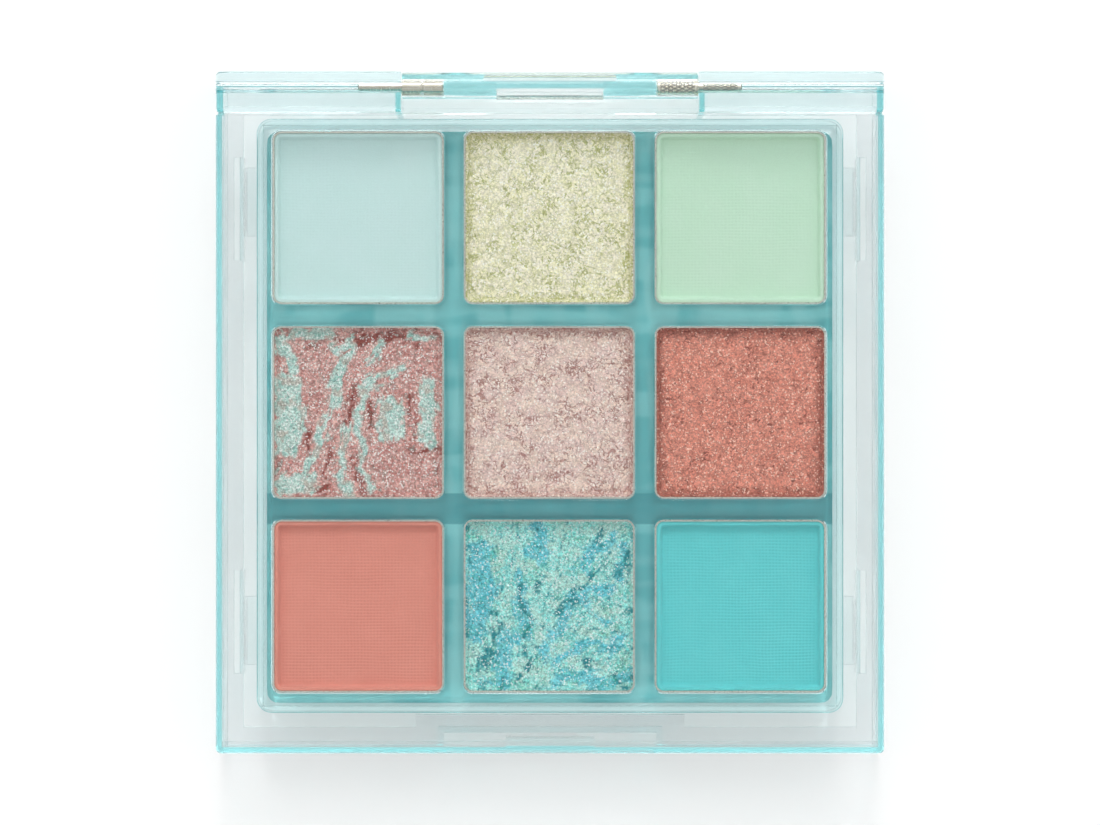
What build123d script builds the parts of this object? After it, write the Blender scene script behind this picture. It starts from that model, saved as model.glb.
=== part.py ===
from build123d import *
import os

# Clear square eyeshadow palette: a hinged see-through case around a tray of nine pressed-powder pans.
# Millimetres. The origin is the centre of the case's outline, on the surface that the palette stands on:
# +X to the right, +Y towards the hinge and +Z up. The lid is modelled closed.

# Case
WIDTH = 90.0
DEPTH = 91.8
HEIGHT = 12.8
CORNER = 0.7  # radius of the upright outer corners
WALL = 0.8
FLANGE_TOP = 8.4  # top of the base's flat flange, where base and lid meet
FLANGE_THICK = 1.2
PARTING_GAP = 0.1
LID_PLATE = 1.3
SOFT_EDGE = 0.3  # small moulded radius on edges that show
HALF_W = WIDTH / 2
HALF_D = DEPTH / 2
FLANGE_UNDER = FLANGE_TOP - FLANGE_THICK
REAR = 44.7  # outer face of the base's back wall, which the ears and the barrel overhang

# Opening in the flange that the tray hangs in
WINDOW_X = 41.55
WINDOW_FRONT = -42.65
WINDOW_BACK = 40.4
JOG_X = 18.2  # half width of the flange's wider stretch behind the latch
JOG_FRONT = -40.95

# Hinge: two ears on the base, one long barrel on the lid, two short steel pins
AXIS_Y = 43.9
AXIS_Z = 10.8
BARREL_R = 2.0
EAR_INNER_X = 20.1
EAR_FRONT = 40.5
EAR_CROWN = 1.0  # radius on the ear's front top edge, which the lid's rear edge swings past
EAR_UNDER = 9.0  # the ears are hollow below this height
TONGUE_X = 19.95
LID_REAR = 40.05
NECK_FRONT = 40.4  # the neck is a thick bar from here back to the barrel
NECK_EDGE = 40.9  # where the lid's flat top ends and drops to the neck
NECK_TOP = 11.8
PIN_R = 0.75
PIN_INNER_X = 14.4
PIN_OUTER_X = 25.9
PIN_CHAMFER = 0.15
PRESS_R = 0.745  # bore that grips the pin in the barrel
RUNNING_R = 0.80  # bore that turns on the pin in an ear, and that the pin is driven in through

# Cored pocket in the middle of the barrel
POCKET_X = 7.2
POCKET_FRONT = 42.7
POCKET_BACK = 44.5
POCKET_FLOOR = 10.4
HORN_LENGTH = 18.0
HORN_WIDTH = 1.2
HORN_Y = 45.0
HORN_FLOOR = 11.9

# Latch: the lid's hook drops through a slot in the flange
LATCH_X = 14.45
LATCH_BACK = -43.4
LATCH_SKIRT = 0.75
LATCH_SKIRT_BOTTOM = 5.0
CATCH_X = 3.6
CATCH_OUT = 0.35
CATCH_Z = (7.4, 8.0)
HOOK_X = 6.0
HOOK_Y = (-44.55, -43.95)
HOOK_BOTTOM = 6.5
HOOK_ROOT = 8.8
HOOK_BEAD_OUT = 0.15
HOOK_BEAD_Z = (6.6, 7.2)
NAIL_X = 14.0
NAIL_DEEP = 0.35
NAIL_Z = 6.6

# Tray snaps: a springy finger on the base with a bead, and a grooved tab on the tray, four times
FINGER_THICK = 0.5
FINGER_SLOT = 0.8
FINGER_LENGTH = 14.0
FINGER_BOTTOM = 4.6
FINGER_Y = (27.6, -28.4)
TAB_Y = (28.6, -29.6)
TAB_LENGTH = 9.25
TAB_Z = (5.2, 7.6)
BEAD_LENGTH = 8.0
BEAD_OUT = 0.35
BEAD_Z = (6.1, 6.6)
SNAP_GAP = 0.1

# Tray
TRAY_X = 39.75
TRAY_FRONT = -40.7
TRAY_BACK = 39.8
TRAY_CORNER = 2.0
TRAY_TOP = 8.4
SKIRT = 0.6
SKIRT_BOTTOM = 0.3
CUP_UNDER = 2.4
CUP_FLOOR = 3.6
CUP_CLEARANCE = 0.07
CUP_LEAD = 0.15  # chamfer round the mouth of each cup

# Pans and powder
COLUMNS = {"left": -26.0, "centre": -0.1, "right": 25.8}
ROWS = {"back": 26.4, "middle": 0.0, "front": -26.25}
PAN_X = 23.16
PAN_Y = 23.36
PAN_CORNER = 1.2
PAN_METAL = 0.2
GLUE_THICK = 0.15
GLUE_R = 4.5
PAN_TOP = 8.25
POWDER_LIP = 8.1  # the powder rises to this at the pan's wall
POWDER_FACE = 7.2  # and is pressed down to this in the middle
POWDER_LIP_FLAT = 0.5
POWDER_SLOPE = 20  # degrees from upright, of the step between them
POWDER_GAP = 0.02
POWDER_CORNER = 0.9  # radius of the pressed face's corners
POWDERS = {
    ("back", "left"): "powder_pale_aqua",
    ("back", "centre"): "powder_champagne_glitter",
    ("back", "right"): "powder_soft_mint",
    ("middle", "left"): "powder_rose_mint_marble",
    ("middle", "centre"): "powder_rose_glitter",
    ("middle", "right"): "powder_copper_rose",
    ("front", "left"): "powder_coral",
    ("front", "centre"): "powder_teal_marble",
    ("front", "right"): "powder_turquoise",
}

# Label under the tray
LABEL_X = (-38.6, 38.5)
LABEL_Y = (-39.6, 38.3)
LABEL_CORNER = 1.5
LABEL_THICK = 0.12


def block(xs, ys, zs, mode=Mode.ADD):
    """A plain block between two limits on each axis, added to or cut from the part being built."""
    middle = ((xs[0] + xs[1]) / 2, (ys[0] + ys[1]) / 2, (zs[0] + zs[1]) / 2)
    with Locations(middle):
        Box(xs[1] - xs[0], ys[1] - ys[0], zs[1] - zs[0], mode=mode)


def mirrored(xs, side):
    """The limits xs on the right (side 1) or their mirror image on the left (side -1)."""
    return tuple(sorted(side * x for x in xs))


def rod(radius, xs, mode=Mode.ADD):
    """A round bar or bore along the hinge axis between two X limits."""
    with Locations(Location(((xs[0] + xs[1]) / 2, AXIS_Y, AXIS_Z), (0, 90, 0))):
        Cylinder(radius, xs[1] - xs[0], mode=mode)


def edges_at(part, y, z):
    """The part's edges along X at one Y and Z."""
    along = part.edges().filter_by(Axis.X)
    return along.filter_by(lambda e: abs(e.center().Y - y) < 1e-3 and abs(e.center().Z - z) < 1e-3)


def save(part, name):
    """Labels a finished piece and writes it to its own file."""
    part.label = name
    export_step(part, f"parts/{name}.step")


def cells():
    """Row name, column name and centre of each of the nine places."""
    return [(row, column, (x, y)) for row, y in ROWS.items() for column, x in COLUMNS.items()]


os.makedirs("parts", exist_ok=True)


# Base: an outer wall under a flat flange, open below, with two hinge ears at the back
with BuildPart() as base_shell:
    with BuildSketch():
        RectangleRounded(WIDTH, DEPTH, CORNER)
    extrude(amount=HEIGHT)
    block((-HALF_W, HALF_W), (-HALF_D, EAR_FRONT), (FLANGE_TOP, HEIGHT), Mode.SUBTRACT)
    block((-EAR_INNER_X, EAR_INNER_X), (EAR_FRONT, HALF_D), (FLANGE_TOP, HEIGHT), Mode.SUBTRACT)
    fillet(edges_at(base_shell.part, EAR_FRONT, HEIGHT), radius=EAR_CROWN)
    fillet(edges_at(base_shell.part, HALF_D, HEIGHT), radius=SOFT_EDGE)

    # The ears overhang the back wall
    block((-HALF_W, HALF_W), (REAR, HALF_D), (0, FLANGE_TOP), Mode.SUBTRACT)

    # Hollow from below, deeper inside the ears
    block((-HALF_W + WALL, HALF_W - WALL), (-HALF_D + WALL, REAR - WALL), (0, FLANGE_UNDER), Mode.SUBTRACT)
    for side in (-1, 1):
        inside = mirrored((EAR_INNER_X + WALL, HALF_W - WALL), side)
        block(inside, (EAR_FRONT + WALL, REAR - WALL), (0, EAR_UNDER), Mode.SUBTRACT)

    # The tray's opening, with its step behind the latch, running back under the lid's barrel
    with BuildSketch(Plane.XY.offset(FLANGE_UNDER)):
        with BuildLine():
            Polyline(
                (-WINDOW_X, WINDOW_FRONT),
                (-JOG_X, WINDOW_FRONT),
                (-JOG_X, JOG_FRONT),
                (JOG_X, JOG_FRONT),
                (JOG_X, WINDOW_FRONT),
                (WINDOW_X, WINDOW_FRONT),
                (WINDOW_X, WINDOW_BACK),
                (EAR_INNER_X, WINDOW_BACK),
                (EAR_INNER_X, REAR - WALL),
                (-EAR_INNER_X, REAR - WALL),
                (-EAR_INNER_X, WINDOW_BACK),
                (-WINDOW_X, WINDOW_BACK),
                close=True,
            )
        make_face()
    extrude(amount=FLANGE_THICK, mode=Mode.SUBTRACT)

    # End wall of each ear, down to the table
    for side in (-1, 1):
        end = mirrored((EAR_INNER_X, EAR_INNER_X + WALL), side)
        block(end, (WINDOW_BACK, REAR - WALL), (0, FLANGE_TOP))

    # Latch slot with a short skirt round it and a catch bead, and a recess for a fingernail
    outside = (-LATCH_X - LATCH_SKIRT, LATCH_X + LATCH_SKIRT)
    block(outside, (-HALF_D + WALL, LATCH_BACK + LATCH_SKIRT), (LATCH_SKIRT_BOTTOM, FLANGE_UNDER))
    block((-LATCH_X, LATCH_X), (-HALF_D + WALL, LATCH_BACK), (0, FLANGE_TOP), Mode.SUBTRACT)
    block((-CATCH_X, CATCH_X), (LATCH_BACK - CATCH_OUT, LATCH_BACK), CATCH_Z)
    block((-NAIL_X, NAIL_X), (-HALF_D, -HALF_D + NAIL_DEEP), (NAIL_Z, FLANGE_TOP), Mode.SUBTRACT)

    # Snap fingers beside the tray, each behind its slot in the flange
    finger_x = (WINDOW_X, WINDOW_X + FINGER_THICK)
    slot_x = (finger_x[1], finger_x[1] + FINGER_SLOT)
    bead_x = (WINDOW_X - BEAD_OUT, WINDOW_X)
    for side in (-1, 1):
        for finger_y, tab_y in zip(FINGER_Y, TAB_Y):
            length = (finger_y - FINGER_LENGTH / 2, finger_y + FINGER_LENGTH / 2)
            bead = (tab_y - BEAD_LENGTH / 2, tab_y + BEAD_LENGTH / 2)
            block(mirrored(slot_x, side), length, (0, FLANGE_TOP), Mode.SUBTRACT)
            block(mirrored(finger_x, side), length, (FINGER_BOTTOM, FLANGE_UNDER))
            block(mirrored(bead_x, side), bead, BEAD_Z)

    # Pin bores, open at the sides of the case
    for side in (-1, 1):
        rod(RUNNING_R, mirrored((EAR_INNER_X, HALF_W), side), Mode.SUBTRACT)
save(base_shell.part, "base_shell")


# Lid: one clear plate with a front and two side walls, a hook, and a barrel on a lowered neck
with BuildPart() as lid:
    with BuildSketch(Plane.XY.offset(FLANGE_TOP + PARTING_GAP)):
        RectangleRounded(WIDTH, DEPTH, CORNER)
    extrude(amount=HEIGHT - FLANGE_TOP - PARTING_GAP)
    under_plate = (FLANGE_TOP, HEIGHT - LID_PLATE)
    block((-HALF_W + WALL, HALF_W - WALL), (-HALF_D + WALL, HALF_D), under_plate, Mode.SUBTRACT)
    for side in (-1, 1):
        corner = mirrored((TONGUE_X, HALF_W), side)
        block(corner, (LID_REAR, HALF_D), (FLANGE_TOP, HEIGHT), Mode.SUBTRACT)
    block((-TONGUE_X, TONGUE_X), (AXIS_Y, HALF_D), (FLANGE_TOP, HEIGHT), Mode.SUBTRACT)
    rim = lid.faces().sort_by(Axis.Z)[-1].edges().filter_by(lambda e: e.center().Y < LID_REAR - 1e-3)
    fillet(rim, radius=SOFT_EDGE)
    block((-TONGUE_X, TONGUE_X), (NECK_EDGE, HALF_D), (NECK_TOP, HEIGHT), Mode.SUBTRACT)
    block((-TONGUE_X, TONGUE_X), (NECK_FRONT, AXIS_Y), (AXIS_Z - BARREL_R, NECK_TOP))
    rod(BARREL_R, (-TONGUE_X, TONGUE_X))

    # Pin bores, and the pocket and shallow horns that core out the barrel's middle
    for side in (-1, 1):
        rod(PRESS_R, mirrored((PIN_INNER_X - SNAP_GAP, TONGUE_X), side), Mode.SUBTRACT)
    block((-POCKET_X, POCKET_X), (POCKET_FRONT, POCKET_BACK), (POCKET_FLOOR, HEIGHT), Mode.SUBTRACT)
    with BuildSketch(Plane.XY.offset(HORN_FLOOR)):
        with Locations((0, HORN_Y)):
            SlotOverall(HORN_LENGTH, HORN_WIDTH)
    extrude(amount=HEIGHT - HORN_FLOOR, mode=Mode.SUBTRACT)

    # Hook, with its bead under the base's catch
    block((-HOOK_X, HOOK_X), (-HALF_D + WALL, HOOK_Y[1]), (HOOK_ROOT, HEIGHT - LID_PLATE))
    block((-HOOK_X, HOOK_X), HOOK_Y, (HOOK_BOTTOM, HOOK_ROOT))
    block((-HOOK_X, HOOK_X), (HOOK_Y[1], HOOK_Y[1] + HOOK_BEAD_OUT), HOOK_BEAD_Z)
save(lid.part, "lid")


# Hinge pins
for side, name in ((-1, "hinge_pin_left"), (1, "hinge_pin_right")):
    with BuildPart() as pin:
        rod(PIN_R, mirrored((PIN_INNER_X, PIN_OUTER_X), side))
        chamfer(pin.edges().filter_by(GeomType.CIRCLE), length=PIN_CHAMFER)
    save(pin.part, name)


# Tray: a thick clear slab with nine cups, standing on a skirt round its edge
with BuildPart() as pan_tray:
    tray_middle = (0, (TRAY_FRONT + TRAY_BACK) / 2)
    with BuildSketch(Plane.XY.offset(SKIRT_BOTTOM)):
        with Locations(tray_middle):
            RectangleRounded(2 * TRAY_X, TRAY_BACK - TRAY_FRONT, TRAY_CORNER)
    extrude(amount=TRAY_TOP - SKIRT_BOTTOM)
    fillet(pan_tray.faces().sort_by(Axis.Z)[-1].edges(), radius=SOFT_EDGE)

    # Space under the cups, for the label
    with BuildSketch(Plane.XY.offset(SKIRT_BOTTOM)):
        with Locations(tray_middle):
            Rectangle(2 * (TRAY_X - SKIRT), TRAY_BACK - TRAY_FRONT - 2 * SKIRT)
    extrude(amount=CUP_UNDER - SKIRT_BOTTOM, mode=Mode.SUBTRACT)

    # The cups
    with BuildSketch(Plane.XY.offset(CUP_FLOOR)):
        with Locations([middle for _, _, middle in cells()]):
            around = 2 * CUP_CLEARANCE
            RectangleRounded(PAN_X + around, PAN_Y + around, PAN_CORNER + CUP_CLEARANCE)
    extrude(amount=TRAY_TOP - CUP_FLOOR, mode=Mode.SUBTRACT)
    top_edges = pan_tray.faces().sort_by(Axis.Z)[-1].inner_wires().edges()
    chamfer(top_edges, length=CUP_LEAD)

    # Grooved tabs
    tab_end = WINDOW_X - SNAP_GAP
    for side in (-1, 1):
        for tab_y in TAB_Y:
            length = (tab_y - TAB_LENGTH / 2, tab_y + TAB_LENGTH / 2)
            groove_x = mirrored((WINDOW_X - BEAD_OUT - SNAP_GAP, tab_end), side)
            groove_z = (BEAD_Z[0] - SNAP_GAP, BEAD_Z[1] + SNAP_GAP)
            block(mirrored((TRAY_X - SKIRT / 2, tab_end), side), length, TAB_Z)
            block(groove_x, length, groove_z, Mode.SUBTRACT)
save(pan_tray.part, "pan_tray")


# Pans, and the powder pressed into each
pan_floor = CUP_FLOOR + GLUE_THICK
for row, column, middle in cells():
    with BuildPart() as pan:
        with BuildSketch(Plane.XY.offset(pan_floor)):
            with Locations(middle):
                RectangleRounded(PAN_X, PAN_Y, PAN_CORNER)
        extrude(amount=PAN_TOP - pan_floor)
        with BuildSketch(Plane.XY.offset(pan_floor + PAN_METAL)):
            with Locations(middle):
                inner = PAN_CORNER - PAN_METAL
                RectangleRounded(PAN_X - 2 * PAN_METAL, PAN_Y - 2 * PAN_METAL, inner)
        extrude(amount=PAN_TOP - pan_floor - PAN_METAL, mode=Mode.SUBTRACT)
    save(pan.part, f"pan_{row}_{column}")

    with BuildPart() as powder:
        with BuildSketch(Plane.XY.offset(pan_floor + PAN_METAL)):
            with Locations(middle):
                less = 2 * (PAN_METAL + POWDER_GAP)
                RectangleRounded(PAN_X - less, PAN_Y - less, PAN_CORNER - PAN_METAL - POWDER_GAP)
        extrude(amount=POWDER_LIP - pan_floor - PAN_METAL)
        with BuildSketch(Plane.XY.offset(POWDER_LIP)):
            with Locations(middle):
                less += 2 * POWDER_LIP_FLAT
                RectangleRounded(PAN_X - less, PAN_Y - less, POWDER_CORNER)
        extrude(amount=POWDER_FACE - POWDER_LIP, taper=POWDER_SLOPE, mode=Mode.SUBTRACT)
    save(powder.part, POWDERS[row, column])


# One dot of glue under each pan
with BuildPart() as pan_adhesive:
    with BuildSketch(Plane.XY.offset(CUP_FLOOR)):
        with Locations([middle for _, _, middle in cells()]):
            Circle(GLUE_R)
    extrude(amount=GLUE_THICK)
save(pan_adhesive.part, "pan_adhesive")


# Printed label, stuck to the cups' undersides
with BuildPart() as tray_label:
    with BuildSketch(Plane.XY.offset(CUP_UNDER - LABEL_THICK)):
        with Locations((sum(LABEL_X) / 2, sum(LABEL_Y) / 2)):
            RectangleRounded(LABEL_X[1] - LABEL_X[0], LABEL_Y[1] - LABEL_Y[0], LABEL_CORNER)
    extrude(amount=LABEL_THICK)
save(tray_label.part, "tray_label")
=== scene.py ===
"""Looks of the eyeshadow palette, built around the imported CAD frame.

Blender objects are in metres, in the frame's own axes. The mesh work below is done in
millimetres and scaled as each mesh is made.
"""

import math

import bpy
import numpy as np
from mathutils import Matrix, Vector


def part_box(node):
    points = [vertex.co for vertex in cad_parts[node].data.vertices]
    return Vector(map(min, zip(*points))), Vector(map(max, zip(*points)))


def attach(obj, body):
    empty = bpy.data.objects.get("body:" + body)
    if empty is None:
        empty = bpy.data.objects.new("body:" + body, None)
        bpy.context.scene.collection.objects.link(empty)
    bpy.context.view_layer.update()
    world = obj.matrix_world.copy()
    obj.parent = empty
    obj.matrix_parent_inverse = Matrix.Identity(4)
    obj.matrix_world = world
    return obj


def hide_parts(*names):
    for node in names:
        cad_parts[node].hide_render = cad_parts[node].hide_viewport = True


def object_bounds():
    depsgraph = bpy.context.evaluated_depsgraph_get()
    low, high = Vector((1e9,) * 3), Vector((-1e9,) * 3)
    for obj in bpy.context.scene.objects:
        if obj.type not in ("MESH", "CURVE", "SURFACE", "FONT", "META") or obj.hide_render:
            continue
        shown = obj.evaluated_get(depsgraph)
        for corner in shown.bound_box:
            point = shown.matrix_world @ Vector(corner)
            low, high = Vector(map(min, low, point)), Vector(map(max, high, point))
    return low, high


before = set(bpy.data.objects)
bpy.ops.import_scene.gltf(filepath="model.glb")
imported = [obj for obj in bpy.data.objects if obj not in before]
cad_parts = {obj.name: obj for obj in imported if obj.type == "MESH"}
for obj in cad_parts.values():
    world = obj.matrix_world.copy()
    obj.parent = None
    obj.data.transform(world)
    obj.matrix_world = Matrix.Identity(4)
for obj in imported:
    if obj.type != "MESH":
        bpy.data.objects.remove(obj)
cad_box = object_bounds()
MM = 0.001


# ---------------------------------------------------------------- node helpers


def srgb(r, g, b):
    """A linear colour with alpha from 8-bit sRGB values."""

    def linear(c):
        c /= 255
        return c / 12.92 if c <= 0.04045 else ((c + 0.055) / 1.055) ** 2.4

    return (linear(r), linear(g), linear(b), 1.0)


class Nodes:
    """A node tree with short ways to add and join nodes."""

    def __init__(self, tree):
        self.nodes = tree.nodes
        self.links = tree.links

    def add(self, kind, **settings):
        node = self.nodes.new(kind)
        for key, value in settings.items():
            setattr(node, key, value)
        return node

    def feed(self, socket, value):
        """Joins an input to another node's output, or sets the input's own value."""
        if isinstance(value, bpy.types.NodeSocket):
            self.links.new(value, socket)
        else:
            socket.default_value = value

    def math(self, operation, a, b=0.0, clamp=False):
        node = self.add("ShaderNodeMath", operation=operation, use_clamp=clamp)
        self.feed(node.inputs[0], a)
        self.feed(node.inputs[1], b)
        return node.outputs[0]

    def vector_math(self, operation, a, b):
        node = self.add("ShaderNodeVectorMath", operation=operation)
        self.feed(node.inputs[0], a)
        self.feed(node.inputs[1], b)
        return node.outputs["Value" if operation == "DOT_PRODUCT" else "Vector"]

    def scaled(self, vector, factor):
        node = self.add("ShaderNodeVectorMath", operation="SCALE")
        self.feed(node.inputs[0], vector)
        self.feed(node.inputs["Scale"], factor)
        return node.outputs["Vector"]

    def span(self, value, low, high, out_low=0.0, out_high=1.0):
        """value from low..high mapped smoothly to out_low..out_high."""
        node = self.add("ShaderNodeMapRange", interpolation_type="SMOOTHSTEP")
        self.feed(node.inputs["Value"], value)
        node.inputs["From Min"].default_value = low
        node.inputs["From Max"].default_value = high
        node.inputs["To Min"].default_value = out_low
        node.inputs["To Max"].default_value = out_high
        return node.outputs["Result"]


class Material(Nodes):
    """A Principled material with procedural inputs in millimetres."""

    def __init__(self, name):
        self.material = bpy.data.materials.new(name)
        self.material.use_nodes = True
        super().__init__(self.material.node_tree)
        self.shader = self.nodes["Principled BSDF"]
        self.output = self.nodes["Material Output"]

    def set(self, **values):
        """Principled sockets by name, with _ for a space."""
        for key, value in values.items():
            self.feed(self.shader.inputs[key.replace("_", " ")], value)

    def place(self, scale=(1, 1, 1), shift=(0, 0, 0)):
        """Object coordinates in millimetres, scaled and then shifted."""
        coords = self.add("ShaderNodeTexCoord").outputs["Object"]
        mapping = self.add("ShaderNodeMapping")
        mapping.inputs["Scale"].default_value = [s / MM for s in scale]
        mapping.inputs["Location"].default_value = shift
        self.links.new(coords, mapping.inputs["Vector"])
        return mapping.outputs["Vector"]

    def noise(self, at, size, detail=2.0, rough=0.55, distortion=0.0):
        """Noise in 0..1 with lumps of about this size."""
        node = self.add("ShaderNodeTexNoise")
        self.feed(node.inputs["Vector"], at)
        node.inputs["Scale"].default_value = 1 / size
        node.inputs["Detail"].default_value = detail
        node.inputs["Roughness"].default_value = rough
        node.inputs["Distortion"].default_value = distortion
        return node.outputs["Fac"]

    def lines(self, at, size, width, distortion):
        """1 on thin lines that wander between lumps of about this size, 0 elsewhere."""
        apart = self.math("SUBTRACT", self.noise(at, size, 3.0, 0.6, distortion), 0.5)
        return self.span(self.math("ABSOLUTE", apart), width, 0.0)

    def cells(self, at, size):
        """Three random values for each cell of about this size."""
        node = self.add("ShaderNodeTexVoronoi")
        self.feed(node.inputs["Vector"], at)
        node.inputs["Scale"].default_value = 1 / size
        return node.outputs["Color"]

    def channels(self, colour):
        """The red, green and blue of a colour as three values."""
        node = self.add("ShaderNodeSeparateColor")
        self.links.new(colour, node.inputs[0])
        return node.outputs[0], node.outputs[1], node.outputs[2]

    def mix(self, factor, a, b, blend="MIX"):
        node = self.add("ShaderNodeMix", data_type="RGBA", blend_type=blend)
        self.feed(node.inputs["Factor"], factor)
        self.feed(node.inputs["A"], a)
        self.feed(node.inputs["B"], b)
        return node.outputs["Result"]

    def attribute(self, name):
        """The value that a mesh carries under this name at each point."""
        return self.add("ShaderNodeAttribute", attribute_name=name).outputs["Fac"]

    def bump(self, height, distance):
        """Surface relief from a height in 0..1 that spans distance millimetres."""
        node = self.add("ShaderNodeBump")
        node.inputs["Strength"].default_value = 1.0
        node.inputs["Distance"].default_value = distance * MM
        self.feed(node.inputs["Height"], height)
        return node.outputs["Normal"]

    def tilted(self, normal, random_vector, amount):
        """A normal, tipped a different way for each random vector."""
        tip = self.scaled(self.vector_math("SUBTRACT", random_vector, (0.5, 0.5, 0.5)), amount)
        total = self.vector_math("ADD", normal, tip)
        node = self.add("ShaderNodeVectorMath", operation="NORMALIZE")
        self.links.new(total, node.inputs[0])
        return node.outputs["Vector"]


# ---------------------------------------------------------------- camera

CAMERA_HEIGHT = 0.600  # above the closed lid
SENSOR = 36.0
FRAME_WIDTH = 0.14807  # how much of the plane of the lid's top the picture spans

camera_data = bpy.data.cameras.new("camera")
camera_data.sensor_width = SENSOR
camera_data.lens = SENSOR * CAMERA_HEIGHT / FRAME_WIDTH
camera = bpy.data.objects.new("camera", camera_data)
camera.location = (0, 0, cad_box[1][2] + CAMERA_HEIGHT)
bpy.context.scene.collection.objects.link(camera)
bpy.context.scene.camera = camera


# ---------------------------------------------------------------- light and floor

DOME_FRONT = 0.83  # strength of the white dome on the latch side
DOME_BACK = 1.48  # and on the hinge side
OVERHEAD = 0.40  # share of it left straight above, where a camera would hang
OVERHEAD_START = 0.985  # cosine of the angle from straight above at which it begins to dim
OVERHEAD_FULL = 0.996
SIDEWAYS = 0.9  # how far to the front and back the dome's strength goes on changing
KEY_ELEVATION = math.radians(36)
KEY_STRENGTH = 11.0  # a soft light behind the hinge, added to the dome
KEY_INNER = math.cos(math.radians(7))
KEY_OUTER = math.cos(math.radians(12))
FLOOR_HALF = 1.5  # half its side, in metres
FLOOR_DROP = 0.03 * MM  # keeps the floor just clear of the base's rim
FLOOR_TONE = 0.93
FLOOR_GLOW = 0.08


def studio_world():
    """A white dome, brighter behind the hinge and dimmer straight above, with a soft key light."""
    world = bpy.data.worlds.new("studio")
    bpy.context.scene.world = world
    world.use_nodes = True
    world.node_tree.nodes.clear()
    w = Nodes(world.node_tree)
    direction = w.add("ShaderNodeTexCoord").outputs["Generated"]
    parts = w.add("ShaderNodeSeparateXYZ")
    w.links.new(direction, parts.inputs[0])
    gap = w.span(parts.outputs["Z"], OVERHEAD_START, OVERHEAD_FULL, 1.0, OVERHEAD)
    dome = w.span(parts.outputs["Y"], -SIDEWAYS, SIDEWAYS, DOME_FRONT, DOME_BACK)
    towards_key = (0, math.cos(KEY_ELEVATION), math.sin(KEY_ELEVATION))
    facing_key = w.vector_math("DOT_PRODUCT", direction, towards_key)
    key = w.span(facing_key, KEY_OUTER, KEY_INNER, 0, KEY_STRENGTH)
    background = w.add("ShaderNodeBackground")
    w.feed(background.inputs["Strength"], w.math("ADD", w.math("MULTIPLY", gap, dome), key))
    output = w.add("ShaderNodeOutputWorld")
    w.links.new(background.outputs[0], output.inputs["Surface"])


def white_floor():
    """A pale sheet with a faint glow of its own, as on a light table."""
    mesh = bpy.data.meshes.new("floor")
    signs = ((-1, -1), (1, -1), (1, 1), (-1, 1))
    corners = [(x * FLOOR_HALF, y * FLOOR_HALF, -FLOOR_DROP) for x, y in signs]
    mesh.from_pydata(corners, [], [(0, 1, 2, 3)])
    floor = bpy.data.objects.new("floor", mesh)
    bpy.context.scene.collection.objects.link(floor)
    m = Material("white_floor")
    m.set(Base_Color=(FLOOR_TONE, FLOOR_TONE, FLOOR_TONE, 1), Roughness=0.9, Specular_IOR_Level=0.0)
    m.set(Emission_Color=(1, 1, 1, 1), Emission_Strength=FLOOR_GLOW)
    mesh.materials.append(m.material)


studio_world()
white_floor()
scene = bpy.context.scene
scene.view_settings.view_transform = "Standard"
# Light caught in a clear wall is turned back many times before it leaves
scene.cycles.max_bounces = 128
scene.cycles.glossy_bounces = 96
scene.cycles.transmission_bounces = 32
scene.cycles.transparent_max_bounces = 16
scene.cycles.blur_glossy = 0.0  # keeps the clear walls sharp for light from the powders


# ---------------------------------------------------------------- clear tinted plastic

PLASTIC_IOR = 1.5
PLASTIC_TINT = (0.12, 0.82, 0.84, 1)
NO_SKIN = (1, 1, 1, 1)
BASE_SKIN = (1.0, 0.965, 0.970, 1)  # the base's surfaces hold back a little green and blue
BASE_DENSITY = 58.0
LID_DENSITY = 27.0
TRAY_DENSITY = 26.0
FLOW_SIZE = 14.0  # the faint waves that moulding leaves in the plastic
FLOW_HEIGHT = 0.02


def finish_node(node, material):
    """Gives a CAD node one material all over."""
    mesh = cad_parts[node].data
    mesh.materials.clear()
    mesh.materials.append(material)


def clear_plastic(name, density, skin):
    """Tinted polystyrene: most of its colour comes from the depth that the light crosses."""
    m = Material(name)
    flow = m.noise(m.place(), FLOW_SIZE, 1.0)
    m.set(
        Base_Color=skin,
        Roughness=0.0,
        Transmission_Weight=1.0,
        IOR=PLASTIC_IOR,
        Normal=m.bump(flow, FLOW_HEIGHT),
    )
    tint = m.add("ShaderNodeVolumeAbsorption")
    tint.inputs["Color"].default_value = PLASTIC_TINT
    tint.inputs["Density"].default_value = density
    m.links.new(tint.outputs["Volume"], m.output.inputs["Volume"])
    return m.material


finish_node("base_shell", clear_plastic("clear_base", BASE_DENSITY, BASE_SKIN))
finish_node("lid", clear_plastic("clear_lid", LID_DENSITY, NO_SKIN))
finish_node("pan_tray", clear_plastic("clear_tray", TRAY_DENSITY, NO_SKIN))


# ---------------------------------------------------------------- mesh helpers, in millimetres

NOISE_CELLS = 64  # the noise repeats after this many lumps


def value_noise(x, y, size, seed):
    """Smooth noise in -1..1 whose lumps are about this size."""
    table = np.random.default_rng(seed).uniform(-1, 1, (NOISE_CELLS, NOISE_CELLS))
    u, v = x / size, y / size
    i, j = np.floor(u).astype(int), np.floor(v).astype(int)
    fu, fv = u - i, v - j
    fu, fv = fu * fu * (3 - 2 * fu), fv * fv * (3 - 2 * fv)

    def at(a, b):
        return table[a % NOISE_CELLS, b % NOISE_CELLS]

    low = at(i, j) * (1 - fu) + at(i + 1, j) * fu
    high = at(i, j + 1) * (1 - fu) + at(i + 1, j + 1) * fu
    return low * (1 - fv) + high * fv


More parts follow.
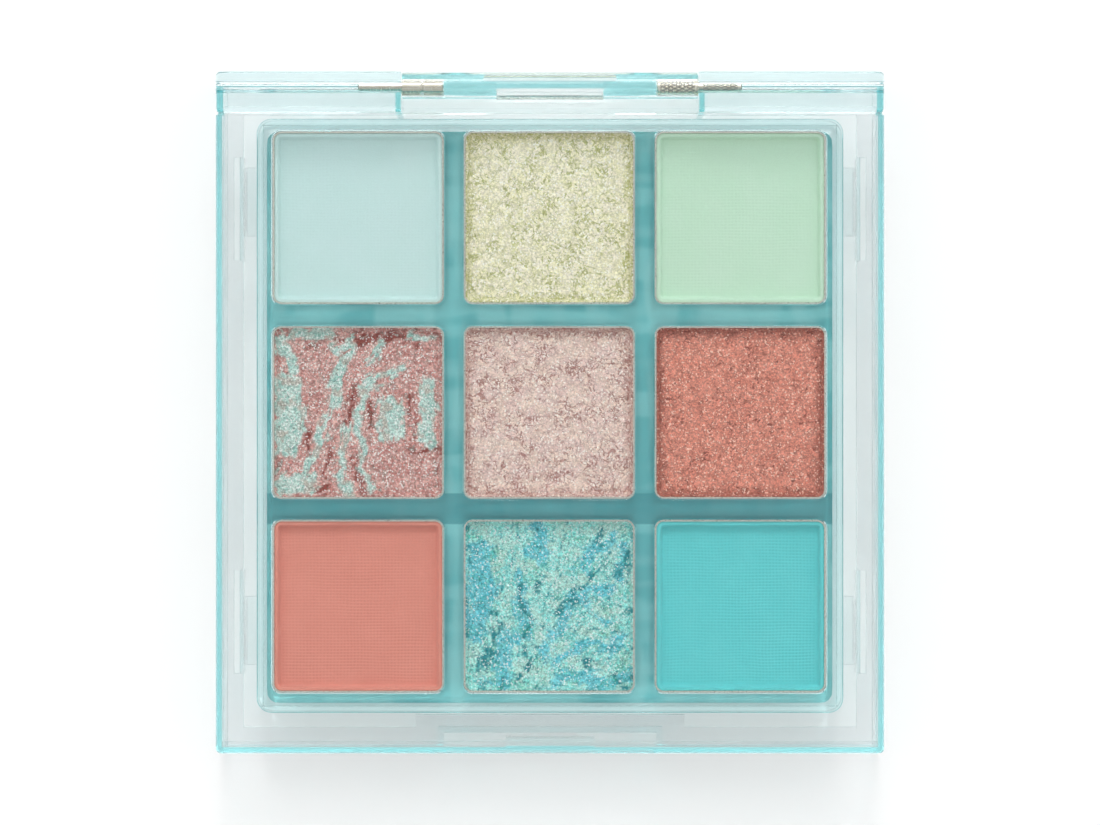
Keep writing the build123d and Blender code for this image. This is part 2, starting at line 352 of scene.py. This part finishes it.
def fractal(x, y, size, seed, octaves=3, gain=0.5):
    """value_noise summed over halving sizes, still about -1..1."""
    total, weight = 0, 0
    for octave in range(octaves):
        share = gain**octave
        total = total + share * value_noise(x, y, size / 2**octave, seed + octave)
        weight += share
    return total / weight


def ramp(value, low, high):
    """0 below low, 1 above high, smooth between."""
    t = np.clip((value - low) / (high - low), 0, 1)
    return t * t * (3 - 2 * t)


def add_piece(name, points, faces, material, body, node, attributes=None):
    """A smooth mesh piece from points in millimetres, which stands for one CAD node."""
    mesh = bpy.data.meshes.new(name)
    mesh.from_pydata((np.asarray(points) * MM).tolist(), [], faces)
    mesh.update()
    for key, values in (attributes or {}).items():
        layer = mesh.attributes.new(key, "FLOAT", "POINT")
        layer.data.foreach_set("value", np.asarray(values, np.float32))
    mesh.shade_smooth()
    mesh.materials.append(material)
    piece = bpy.data.objects.new(name, mesh)
    bpy.context.scene.collection.objects.link(piece)
    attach(piece, body)
    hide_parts(node)


def grid_faces(columns, rows):
    """Quads over a columns by rows grid of points numbered row by row."""
    first = (np.arange(rows - 1)[:, None] * columns + np.arange(columns - 1)[None, :]).ravel()
    return np.stack([first, first + 1, first + columns + 1, first + columns], axis=1).tolist()


# ---------------------------------------------------------------- pressed powders

STEP = 0.105  # spacing of the grid over a cake's top
CAKE_RADIUS = 0.98
LIP_WIDTH = 0.45  # the raised border round the cake's pressed face
LIP_STEP = 0.40  # width of the steep step between them
LIP_RISE = 0.90
GLITTER_LIP = 0.15  # the glittery cakes have only a narrow border
RIM_FADE = 0.3  # their relief fades out over this at the edge
RIB_PITCH = 0.42  # of the cloth's imprint on the matte cakes
THREAD_PITCH = 0.46
IMPRINT_START = 0.7  # how far from the edge the imprint begins
IMPRINT_FULL = 1.1
MATTE_ROUGH = 0.008  # height of the fine roughness over the imprint
FLAKE_SIZE = 0.17  # of the bright flakes in the glittery powders
GRAIN_SIZE = 0.26  # of the soft light and dark between them
LUMP_SIZE = 1.1  # of the soft lumps in their relief
CRUMB_SIZE = 0.42  # and of the small crumbs on those
SPECKLE = 0.85  # strength of the small dark specks in the glittery powders


class RoundedGrid:
    """Points over a node's outline, a rounded rectangle, and how far each is from the edge."""

    def __init__(self, node, radius, step):
        self.node = node
        low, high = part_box(node)
        self.middle = [(a + b) / 2 / MM for a, b in zip(low, high)]
        self.bottom, self.top = low[2] / MM, high[2] / MM
        half_x, half_y = ((high[k] - low[k]) / 2 / MM for k in (0, 1))
        self.columns, self.rows = (int(2 * half / step) + 1 for half in (half_x, half_y))
        line_x = np.linspace(-half_x, half_x, self.columns)
        line_y = np.linspace(-half_y, half_y, self.rows)
        x, y = (a.ravel() for a in np.meshgrid(line_x, line_y))
        over_x = np.maximum(np.abs(x) - (half_x - radius), 0)
        over_y = np.maximum(np.abs(y) - (half_y - radius), 0)
        reach = np.maximum(np.hypot(over_x, over_y), 1e-9)
        pull = np.maximum(over_x, over_y) / reach
        over_x, over_y = over_x * pull, over_y * pull
        self.x = np.sign(x) * (np.minimum(np.abs(x), half_x - radius) + over_x)
        self.y = np.sign(y) * (np.minimum(np.abs(y), half_y - radius) + over_y)
        side = np.minimum(half_x - np.abs(self.x), half_y - np.abs(self.y))
        self.edge = np.where((over_x > 0) & (over_y > 0), radius - np.hypot(over_x, over_y), side)

    def build(self, name, height, material, body, slot, attributes=None):
        """A closed slab under that height: its top, its side and its flat underside."""
        height = np.minimum(height, self.top)
        points = np.stack([self.x + self.middle[0], self.y + self.middle[1], height], axis=1)
        faces = grid_faces(self.columns, self.rows)
        across, up = np.arange(self.columns), np.arange(self.rows)
        front = across
        right = up[1:] * self.columns + self.columns - 1
        back = (self.rows - 1) * self.columns + across[::-1][1:]
        left = up[::-1][1:-1] * self.columns
        loop = np.concatenate([front, right, back, left])
        skirt = points[loop].copy()
        skirt[:, 2] = self.bottom
        centre = [[self.middle[0], self.middle[1], self.bottom]]
        start, count = len(points), len(loop)
        after = np.roll(np.arange(count), -1)
        for k, following in enumerate(after.tolist()):
            faces.append([int(loop[k]), start + k, start + following, int(loop[following])])
        for k, following in enumerate(after.tolist()):
            faces.append([start + k, start + count, start + following])
        unset = np.zeros(count + 1)
        extra = {key: np.concatenate([v, unset]) for key, v in (attributes or {}).items()}
        points = np.concatenate([points, skirt, centre])
        add_piece(name, points, faces, material, body, self.node, extra)


class Cake(RoundedGrid):
    """The pressed powder in one pan."""

    def __init__(self, node):
        super().__init__(node, CAKE_RADIUS, STEP)

    def dish(self, seed, ragged=0.08, border=LIP_WIDTH):
        """Height of the pressed face: flat in the middle, with a raised, slightly ragged border."""
        wander = fractal(self.x, self.y, 2.2, seed) * ragged
        rise = 1 - ramp(self.edge, border + wander, border + LIP_STEP + wander)
        worn = np.abs(wander) * 0.8 + 0.06 * (1 - ramp(self.edge, 0.0, 0.18))
        sag = 0.04 * fractal(self.x, self.y, 7.0, seed + 9, 2)
        return self.top - LIP_RISE + rise * (LIP_RISE - worn) + sag * (1 - rise)

    def finish(self, height, material, attributes=None):
        """Makes the cake's mesh, which stands for the powder's CAD node."""
        self.build(self.node + "_cake", height, material, "base", self.node, attributes)


def fabric_imprint(cake, seed, strength):
    """The weave of the cloth that a matte powder is pressed through."""
    x = cake.x + 0.10 * value_noise(cake.x, cake.y, 3.0, seed)
    y = cake.y + 0.10 * value_noise(cake.x, cake.y, 3.5, seed + 1)
    ribs = np.cos(2 * math.pi * y / RIB_PITCH)
    threads = np.cos(2 * math.pi * x / THREAD_PITCH)
    depth = 0.5 + 0.5 * ramp(fractal(cake.x, cake.y, 6.0, seed + 2), -0.6, 0.6)
    return strength * depth * (ribs + 0.45 * threads)


def matte_cake(node, colour, shade, seed, imprint):
    """A matte cake of one colour, slightly cloudy, with the cloth's imprint."""
    cake = Cake(node)
    inside = ramp(cake.edge, IMPRINT_START, IMPRINT_FULL)
    height = cake.dish(seed) + fabric_imprint(cake, seed, imprint) * inside
    height += MATTE_ROUGH * value_noise(cake.x, cake.y, 0.35, seed + 5)
    m = Material(node)
    at = m.place()
    cloudy = m.span(m.noise(at, 4.0, 2.0), 0.25, 0.75, 0.0, 0.35)
    tone = m.mix(cloudy, srgb(*colour), srgb(*shade))
    grain = m.span(m.noise(at, 0.16, 2.0), 0.3, 0.7, 0.955, 1.045)
    m.set(
        Base_Color=m.mix(1.0, tone, grain, "MULTIPLY"),
        Roughness=m.span(m.noise(at, 0.5), 0.2, 0.8, 0.80, 0.95),
        Sheen_Weight=0.12,
        Sheen_Roughness=0.5,
        Specular_IOR_Level=0.25,
        Normal=m.bump(m.noise(at, 0.10, 2.0), 0.012),
    )
    cake.finish(height, m.material)


def crumbly_height(cake, seed, ragged, coarse, fine):
    """Height of a baked, glittery cake: soft lumps with small crumbs standing in them."""
    lumps = fractal(cake.x, cake.y, LUMP_SIZE, seed, 2)
    crumbs = np.abs(fractal(cake.x, cake.y, CRUMB_SIZE, seed + 20, 2, 0.7))
    relief = coarse * lumps - fine * 2 * crumbs
    return cake.dish(seed, ragged, GLITTER_LIP) + relief * ramp(cake.edge, 0.0, RIM_FADE)


def sparkle(m, at, tone, relief, contrast, light, light_share, tilt):
    """Fine grain over a tone, with relief and a share of bright flakes, each tipped its own way."""
    grain = m.span(m.noise(at, GRAIN_SIZE, 3.0, 0.75), 0.32, 0.68, 1 - contrast, 1 + contrast)
    flakes = m.cells(at, FLAKE_SIZE)
    turn, pick, sheen = m.channels(flakes)
    # Bright flakes: near-white partly as the flakes' own colour, partly as painted glint
    bright = m.span(pick, 1 - light_share - 0.01, 1 - light_share + 0.01)
    tone = m.mix(1.0, tone, grain, "MULTIPLY")
    m.set(
        Base_Color=m.mix(m.math("MULTIPLY", bright, 0.8), tone, light),
        Roughness=m.span(sheen, 0.0, 1.0, 0.38, 0.72),
        Metallic=m.span(turn, 0.2, 1.0, 0.05, 0.40),
        Normal=m.tilted(m.bump(relief, 0.06), flakes, tilt),
    )


def glitter_cake(node, tones, seed, crackle, rim_lines_and_shade, light_share, contrast):
    """A glittery cake: two mixed tones, crossed by thin dark lines, with bright flakes.

    tones are the base, what it drifts to, the dark lines and the flakes. The lines gather in
    patches and near the edge; near the edge, more lines and a darker tone are painted shade
    of the pan's wall. crackle says how strong the lines are, and the next argument how strong
    the painted shade at the edge is.
    """
    base, drift, dark, light = (srgb(*tone) for tone in tones)
    cake = Cake(node)
    height = crumbly_height(cake, seed, 0.20, 0.045, 0.030)
    # Painted shade: a ragged band along the pan's wall, with more dark lines and a darker tone
    from_edge = cake.edge + 0.6 * fractal(cake.x, cake.y, 1.3, seed + 40)
    rim_lines_and_shade_mask = (1 - ramp(from_edge, 0.3, 1.6)) * rim_lines_and_shade
    m = Material(node)
    at = m.place()
    tone = m.mix(m.span(m.noise(at, 1.8, 3.0, 0.6), 0.38, 0.62), base, drift)
    patches = m.span(m.noise(at, 2.6, 3.0, 0.6), 0.40, 0.60, 0.35, 1.0)
    rim_lines_and_shade_here = m.attribute("rim_lines_and_shade")
    gathered = m.math("ADD", patches, rim_lines_and_shade_here, clamp=True)
    cracks = m.math("MULTIPLY", m.lines(at, 1.5, 0.050, 1.0), crackle)
    speckle = m.span(m.noise(m.place(shift=(31, 17, 5)), 0.60, 2.0, 0.7, 0.8), 0.44, 0.37)
    drawn = m.math("MAXIMUM", cracks, m.math("MULTIPLY", speckle, SPECKLE))
    drawn = m.math("MULTIPLY", drawn, gathered)
    tone = m.mix(drawn, tone, dark)
    # Painted shade: the tone near the pan's wall is pulled towards the dark tone
    tone = m.mix(m.math("MULTIPLY", rim_lines_and_shade_here, 0.6), tone, dark)
    relief = m.math("SUBTRACT", m.noise(at, 0.4, 3.0, 0.7), m.math("MULTIPLY", drawn, 0.6))
    sparkle(m, at, tone, relief, contrast, light, light_share, 0.45)
    cake.finish(height, m.material, {"rim_lines_and_shade": rim_lines_and_shade_mask})


def along(points, x, y):
    """Distance from each grid point to a line through the given points."""
    nearest = np.full(x.shape, 1e9)
    for (ax, ay), (bx, by) in zip(points, points[1:]):
        dx, dy = bx - ax, by - ay
        t = np.clip(((x - ax) * dx + (y - ay) * dy) / (dx * dx + dy * dy), 0, 1)
        nearest = np.minimum(nearest, np.hypot(x - ax - t * dx, y - ay - t * dy))
    return nearest


def swirl(cake, strokes, seed, warp, soft):
    """1 inside the listed strokes of (width, points), 0 outside, with wandering edges."""
    x = cake.x + warp * fractal(cake.x, cake.y, 2.4, seed, 3, 0.6)
    y = cake.y + warp * fractal(cake.x, cake.y, 2.8, seed + 4, 3, 0.6)
    inside = np.zeros(x.shape)
    for width, points in strokes:
        away = ramp(along(points, x, y), width / 2 - soft, width / 2 + soft)
        inside = np.maximum(inside, 1 - away)
    return inside


# Veins of the two marbled cakes: width and route, in millimetres from the middle of the cake
ROSE_VEINS = [
    (3.6, [(-9.6, 3.6), (-9.2, -0.5), (-9.8, -4.6)]),
    (3.0, [(-10.2, -9.6), (-6.6, -9.2)]),
    (2.0, [(-10.2, 9.8), (-9.4, 6.4)]),
    (1.3, [(-8.6, 10.2), (-4.2, 10.4)]),
    (1.8, [(-1.4, 7.4), (-2.8, 5.2), (-3.4, 1.2)]),
    (1.0, [(-4.6, 0.0), (-5.2, -3.4), (-5.8, -6.4), (-7.4, -8.2)]),
    (0.7, [(-3.6, 0.6), (-4.2, -2.2), (-5.0, -4.4)]),
    (1.1, [(-1.8, -2.2), (-2.4, -5.6), (-2.6, -9.4), (-1.6, -10.8)]),
    (1.0, [(6.2, 5.8), (3.4, 4.8), (0.4, 3.2), (-0.2, -1.6), (0.8, -5.4), (0.4, -8.0), (1.6, -10.4)]),
    (4.0, [(4.2, 0.4), (4.6, -1.8)]),
    (2.2, [(9.4, 3.6), (9.8, -0.2), (9.6, -4.0)]),
    (1.3, [(-3.4, 9.2), (-0.8, 9.2)]),
    (0.8, [(3.6, 9.6), (2.0, 7.6), (1.4, 6.4)]),
    (1.0, [(7.4, 10.6), (10.4, 10.2)]),
]
ROSE_DARKS = [
    (0.8, [(-7.4, 9.2), (-3.6, 10.0), (2.2, 9.8), (7.4, 9.6)]),
    (0.7, [(-0.6, 3.6), (-1.2, -1.8)]),
    (0.9, [(1.4, 1.4), (1.2, -2.4)]),
    (0.8, [(-3.6, -5.0), (-4.2, -8.6)]),
    (0.7, [(-7.2, -2.6), (-6.8, -6.2)]),
    (0.6, [(7.0, 2.2), (7.2, 0.6), (7.4, -3.0)]),
    (0.6, [(7.6, -5.4), (10.6, -5.0)]),
    (0.9, [(-7.8, -10.6), (-4.4, -10.4)]),
    (0.8, [(0.0, -6.0), (1.0, -10.6)]),
]
TEAL_BLUES = [
    (3.4, [(-9.8, 6.6), (-9.2, 2.0), (-9.6, -4.2)]),
    (2.4, [(-2.0, 10.6), (-1.4, 7.2)]),
    (2.2, [(-7.6, -10.6), (-5.6, -7.4), (-5.2, -4.0)]),
    (1.6, [(-4.4, 4.4), (-4.0, 0.8), (-3.2, -4.2)]),
    (1.7, [(8.6, 9.0), (5.0, 7.2), (4.4, 4.8)]),
    (1.4, [(8.2, 2.8), (3.4, 0.8), (0.4, -4.2), (-0.6, -6.6)]),
    (1.5, [(1.4, -7.6), (4.2, -5.6), (9.6, -5.2)]),
    (1.8, [(0.8, -10.0), (5.6, -10.2), (10.4, -9.8)]),
    (1.2, [(10.2, 8.0), (9.6, 4.0)]),
    (1.0, [(5.4, 0.0), (7.6, -2.6)]),
]
TEAL_DARKS = [
    (0.9, [(7.8, 6.4), (5.6, 4.0), (3.4, 2.2)]),
    (0.7, [(-3.6, 0.6), (-3.2, -3.6), (-3.4, -9.2)]),
    (0.7, [(-4.0, 3.4), (-4.4, 1.4)]),
    (0.8, [(-7.4, -1.0), (-7.8, -5.0), (-8.6, -8.8)]),
    (0.7, [(1.4, -0.6), (3.6, 0.6)]),
    (0.6, [(10.4, 8.6), (9.8, 4.6)]),
    (0.7, [(-3.0, 3.4), (-1.6, 2.8)]),
    (0.6, [(4.2, -7.0), (7.6, -8.0)]),
    (0.6, [(7.4, 9.8), (6.2, 7.6)]),
    (0.7, [(9.6, -10.2), (10.8, -10.4)]),
]
STREAK_SIZE = 0.24  # width of the fine streaks in a marbled cake
STREAK_REACH = 1.1  # and half their length


def drawn_out(cake, strokes, seed):
    """Streaks of about -1..1 that follow the direction of the strokes they lie beside."""
    turn_x, turn_y = np.zeros(cake.x.shape), np.zeros(cake.x.shape)
    for _, points in strokes:
        for (ax, ay), (bx, by) in zip(points, points[1:]):
            weight = 1 / (along([(ax, ay), (bx, by)], cake.x, cake.y) ** 2 + 0.6)
            double = 2 * math.atan2(by - ay, bx - ax)
            turn_x += weight * math.cos(double)
            turn_y += weight * math.sin(double)
    angle = 0.5 * np.arctan2(turn_y, turn_x) + 0.5 * fractal(cake.x, cake.y, 2.6, seed + 1)
    ahead_x, ahead_y = np.cos(angle), np.sin(angle)
    step = STREAK_SIZE / 2
    total, count = 0, 0
    for way in (-1, 1):
        x, y, dx, dy = cake.x, cake.y, ahead_x, ahead_y
        for _ in range(int(STREAK_REACH / step)):
            total = total + value_noise(x, y, STREAK_SIZE, seed)
            count += 1
            x, y = x + way * step * dx, y + way * step * dy
            column = np.clip(np.rint((x - cake.x[0]) / STEP), 0, cake.columns - 1).astype(int)
            row = np.clip(np.rint((y - cake.y[0]) / STEP), 0, cake.rows - 1).astype(int)
            here = row * cake.columns + column
            new_x, new_y = ahead_x[here], ahead_y[here]
            keep = np.where(new_x * dx + new_y * dy < 0, -1, 1)
            dx, dy = keep * new_x, keep * new_y
    streak = total / count
    return np.clip(streak / (2 * streak.std()), -1, 1)


def drawn_grain(m, at, streaky):
    """Fine light and dark of about -1..1 in a marbled powder, partly drawn out along its veins."""
    drawn = m.math("MULTIPLY", m.attribute("streak"), streaky)
    return m.math("ADD", drawn, m.span(m.noise(at, 0.5, 3.0, 0.75), 0.3, 0.7, -0.9, 0.9))


def specks(m):
    """1 on small scattered dark specks."""
    return m.span(m.noise(m.place(shift=(9, 4, 2)), 0.5, 2.0, 0.7, 0.8), 0.42, 0.34)


def rose_marble(node, seed):
    """Rose powder with mint veins and rust-coloured streaks, and painted shade at the edge."""
    cake = Cake(node)
    streak = drawn_out(cake, ROSE_VEINS + ROSE_DARKS, seed + 70)
    crumbs = fractal(cake.x, cake.y, 0.75, seed + 90, 3, 0.7)
    vein = swirl(cake, ROSE_VEINS, seed, 1.3, 0.9)
    vein = ramp(vein + 0.22 * streak + 0.50 * crumbs, 0.25, 0.75)
    # Painted shade: the dark mask also grows towards the pan's wall
    dark = swirl(cake, ROSE_DARKS, seed + 30, 1.3, 0.8) + 0.25 * ramp(cake.edge, 1.4, 0.2)
    dark = ramp(dark + 0.35 * streak + 0.60 * crumbs, 0.12, 0.85) * (1 - vein)
    height = crumbly_height(cake, seed, 0.22, 0.06, 0.05)
    height += 0.05 * vein - 0.07 * dark + 0.03 * streak
    m = Material(node)
    at = m.place()
    fine = drawn_grain(m, at, 0.35)
    rose = m.mix(m.span(fine, -0.9, 1.0), srgb(228, 184, 176), srgb(200, 128, 120))
    # The dark mask: rust-coloured streaks, and painted shade near the edge
    rose = m.mix(m.attribute("dark"), rose, srgb(150, 62, 50))
    mint = m.mix(m.span(fine, -0.9, 1.2), srgb(218, 240, 232), srgb(146, 204, 194))
    mint = m.mix(m.span(m.noise(at, 1.8, 3.0), 0.50, 0.64, 0.0, 0.9), mint, srgb(196, 190, 178))
    tone = m.mix(m.math("MULTIPLY", m.attribute("vein"), 0.92), rose, mint)
    tone = m.mix(m.math("MULTIPLY", specks(m), 0.5), tone, srgb(104, 124, 108))
    sparkle(m, at, tone, fine, 0.36, srgb(255, 253, 250), 0.11, 0.6)
    cake.finish(height, m.material, {"vein": vein, "dark": dark, "streak": streak})


def teal_marble(node, seed):
    """Mint powder with blue veins and dark teal streaks, and painted shade at the edge."""
    cake = Cake(node)
    streak = drawn_out(cake, TEAL_BLUES + TEAL_DARKS, seed + 70)
    crumbs = fractal(cake.x, cake.y, 0.8, seed + 90, 3, 0.7)
    blue = swirl(cake, TEAL_BLUES, seed, 1.6, 1.1)
    blue = ramp(blue + 0.15 * streak + 0.6 * crumbs, 0.15, 0.80)
    # Painted shade: the dark mask also grows towards the pan's wall
    dark = swirl(cake, TEAL_DARKS, seed + 30, 1.6, 0.8) + 0.2 * ramp(cake.edge, 1.4, 0.2)
    dark = ramp(dark + 0.35 * streak + 0.9 * crumbs, 0.15, 0.95)
    height = crumbly_height(cake, seed, 0.28, 0.07, 0.06)
    height += 0.06 * crumbs - 0.09 * dark + 0.05 * streak
    m = Material(node)
    at = m.place()
    fine = drawn_grain(m, at, 0.25)
    mint = m.mix(m.span(fine, -0.9, 1.1), srgb(188, 240, 232), srgb(116, 218, 212))
    mint = m.mix(m.span(m.noise(at, 2.4, 2.0), 0.46, 0.60, 0.0, 0.6), mint, srgb(198, 230, 218))
    deep = m.mix(m.span(fine, -0.9, 1.1), srgb(134, 220, 228), srgb(76, 194, 210))
    tone = m.mix(m.attribute("blue"), mint, deep)
    # The dark mask: dark teal streaks, and painted shade near the edge
    tone = m.mix(m.attribute("dark"), tone, srgb(10, 142, 150))
    green_patches = m.span(m.noise(at, 2.6, 2.0), 0.50, 0.62)
    green = m.math("MULTIPLY", green_patches, m.lines(at, 0.9, 0.05, 1.2))
    tone = m.mix(m.math("MULTIPLY", green, 0.7), tone, srgb(60, 182, 148))
    tone = m.mix(m.math("MULTIPLY", specks(m), 0.7), tone, srgb(18, 144, 150))
    sparkle(m, at, tone, fine, 0.36, srgb(246, 252, 250), 0.10, 0.6)
    cake.finish(height, m.material, {"blue": blue, "dark": dark, "streak": streak})


matte_cake("powder_pale_aqua", (203, 227, 225), (195, 224, 219), 101, 0.013)
matte_cake("powder_soft_mint", (200, 228, 205), (192, 226, 198), 102, 0.013)
matte_cake("powder_coral", (224, 143, 127), (216, 133, 117), 103, 0.034)
matte_cake("powder_turquoise", (102, 206, 208), (88, 200, 202), 104, 0.034)
glitter_cake(
    "powder_champagne_glitter",
    [(246, 236, 214), (242, 234, 200), (176, 176, 98), (255, 252, 244)],
    111,
    crackle=0.95,
    rim_lines_and_shade=0.5,
    light_share=0.09,
    contrast=0.22,
)
glitter_cake(
    "powder_rose_glitter",
    [(238, 212, 198), (232, 202, 194), (168, 108, 98), (255, 246, 238)],
    112,
    crackle=0.95,
    rim_lines_and_shade=0.5,
    light_share=0.09,
    contrast=0.22,
)
glitter_cake(
    "powder_copper_rose",
    [(224, 144, 124), (214, 130, 110), (132, 52, 34), (250, 206, 186)],
    113,
    crackle=0.30,
    rim_lines_and_shade=0.9,
    light_share=0.08,
    contrast=0.37,
)
rose_marble("powder_rose_mint_marble", 121)
teal_marble("powder_teal_marble", 131)


# ---------------------------------------------------------------- label, pans, glue and hinge pins

LABEL_CORNER = 1.5
LABEL_BAR = 4.2  # width of the darker bar printed between the middle and front rows
BAR_SOFT = 0.1
FILM_ABOVE = 0.02  # air left over the film and under it
FILM_BELOW = 0.01


def printed_label():
    """The film under the tray, a hair clear of the cups, printed in aqua without lettering."""
    label = RoundedGrid("tray_label", LABEL_CORNER, 1.0)
    label.bottom += FILM_BELOW
    m = Material("label_print")
    at = m.place()
    bands = m.span(m.noise(m.place((0.25, 1.0, 1)), 3.2, 1.0), 0.40, 0.60)
    stripes = m.span(m.noise(m.place((1.0, 0.25, 1), (7, 3, 0)), 3.6, 1.0), 0.42, 0.62)
    tone = m.mix(bands, srgb(138, 204, 206), srgb(104, 186, 190))
    tone = m.mix(m.math("MULTIPLY", stripes, 0.6), tone, srgb(166, 216, 216))
    bar_y = (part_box("pan_front_left")[1][1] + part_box("pan_middle_left")[0][1]) / 2 / MM
    parts = m.add("ShaderNodeSeparateXYZ")
    m.links.new(at, parts.inputs[0])
    from_bar = m.math("ABSOLUTE", m.math("SUBTRACT", parts.outputs["Y"], bar_y))
    in_bar = m.span(from_bar, LABEL_BAR / 2 + BAR_SOFT, LABEL_BAR / 2 - BAR_SOFT, 0.0, 0.8)
    tone = m.mix(in_bar, tone, srgb(60, 150, 158))
    m.set(
        Base_Color=m.mix(m.span(m.noise(at, 0.2), 0.3, 0.7, 0.0, 0.10), tone, srgb(80, 170, 176)),
        Roughness=m.span(m.noise(at, 2.0), 0.3, 0.7, 0.45, 0.60),
    )
    height = np.full(label.x.shape, label.top - FILM_ABOVE)
    label.build("tray_label_film", height, m.material, "base", "label_print")


def drawn_aluminium():
    """Bright aluminium for the pans, with faint upright streaks from drawing."""
    m = Material("pan_metal")
    at = m.place()
    streaks = m.noise(m.place((1, 1, 0.08)), 0.12, 2.0)
    m.set(
        Base_Color=m.mix(m.noise(at, 3.0), srgb(226, 224, 216), srgb(212, 206, 196)),
        Metallic=1.0,
        Roughness=m.span(streaks, 0.2, 0.8, 0.22, 0.40),
        Normal=m.bump(streaks, 0.01),
    )
    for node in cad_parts:
        if node.startswith("pan_") and node not in ("pan_tray", "pan_adhesive"):
            finish_node(node, m.material)


def set_glue():
    """Yellowish set glue for the dots under the pans."""
    m = Material("glue")
    at = m.place()
    m.set(
        Base_Color=m.mix(m.noise(at, 1.5), srgb(238, 234, 220), srgb(222, 214, 192)),
        Roughness=m.span(m.noise(at, 0.8), 0.3, 0.7, 0.35, 0.55),
        Normal=m.bump(m.noise(at, 1.0), 0.05),
    )
    finish_node("pan_adhesive", m.material)


PIN_R = 0.75  # the barrel grips it without any air between, so the round barrel magnifies it
PIN_CHAMFER = 0.14
KNURL_DEPTH = 0.16
KNURL_PITCH = 1.05
KNURL_LINES = 10
KNURL_WIDTH = 0.34  # spread of a groove, where 1 is the middle of a diamond
KNURL_FADE = 0.2  # the knurling fades out over this at its ends
TURN_GROOVE = 0.10  # depth of a turned groove
TURN_GROOVE_WIDTH = 0.12
TURN_SHADE = 0.25  # how dark it is beside the knurling's grooves
AROUND = 72
PIN_STEP = 0.06


def bright_steel():
    """Turned steel with painted shade in its grooves, which the mesh marks for it."""
    m = Material("steel_pin")
    turning = m.noise(m.place((1, 0.05, 0.05)), 0.06, 2.0)
    steel_tone = m.mix(m.noise(m.place(), 0.8), srgb(222, 218, 208), srgb(196, 186, 168))
    m.set(
        # Painted shade: the steel is darker in the grooves
        Base_Color=m.mix(m.math("MULTIPLY", m.attribute("cut_and_shade"), 0.8), steel_tone, srgb(58, 54, 46)),
        Metallic=1.0,
        Roughness=m.span(turning, 0.2, 0.8, 0.14, 0.30),
        Normal=m.bump(turning, 0.004),
    )
    return m.material


def hinge_pin(node, material, knurled, grooves):
    """A turned pin with chamfered ends, diamond knurling between given limits, and grooves.

    What is carved into it is darkened a little, as painted shade.
    """
    low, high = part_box(node)
    start, end = low[0] / MM, high[0] / MM
    y0, z0 = ((low[k] + high[k]) / 2 / MM for k in (1, 2))
    count = int((end - start) / PIN_STEP) + 1
    x = np.linspace(start, end, count)[:, None]
    angle = np.linspace(0, 2 * math.pi, AROUND, endpoint=False)[None, :]
    left_hand = np.abs(np.sin(KNURL_LINES * angle / 2 + math.pi * x / KNURL_PITCH))
    right_hand = np.abs(np.sin(KNURL_LINES * angle / 2 - math.pi * x / KNURL_PITCH))
    inside = 0
    for a, b in knurled:
        inside = inside + ramp(x, a, a + KNURL_FADE) * (1 - ramp(x, b - KNURL_FADE, b))
    # The knurling's groove profile, which sets both the depth and the painted shade
    cut_and_shade = np.exp(-((np.minimum(left_hand, right_hand) / KNURL_WIDTH) ** 2)) * inside
    radius = PIN_R - KNURL_DEPTH * cut_and_shade
    for place in grooves:
        groove = np.exp(-(((x - place) / TURN_GROOVE_WIDTH) ** 2))
        # The turned groove gets painted shade as well as its real depth
        cut_and_shade = cut_and_shade + TURN_SHADE * groove
        radius = radius - TURN_GROOVE * groove
    radius = np.minimum(radius, PIN_R - PIN_CHAMFER + np.minimum(x - start, end - x))
    ring_y, ring_z = y0 + radius * np.cos(angle), z0 + radius * np.sin(angle)
    points = np.stack([np.broadcast_to(x, ring_y.shape), ring_y, ring_z], axis=2).reshape(-1, 3)
    faces = []
    for ring in range(count - 1):
        for k in range(AROUND):
            a, b = ring * AROUND + k, ring * AROUND + (k + 1) % AROUND
            faces.append([a, b, b + AROUND, a + AROUND])
    caps = [[start, y0, z0], [end, y0, z0]]
    first, last = len(points), (count - 1) * AROUND
    faces += [[(k + 1) % AROUND, k, first] for k in range(AROUND)]
    faces += [[last + k, last + (k + 1) % AROUND, first + 1] for k in range(AROUND)]
    points = np.concatenate([points, caps])
    shade = {"cut_and_shade": np.append(np.clip(cut_and_shade, 0, 1).ravel(), [0, 0])}
    add_piece(node + "_turned", points, faces, material, "lid", node, shade)


printed_label()
drawn_aluminium()
set_glue()
steel = bright_steel()
hinge_pin("hinge_pin_left", steel, [], [-17.2])
hinge_pin("hinge_pin_right", steel, [(14.8, 19.6), (20.6, 25.4)], [])
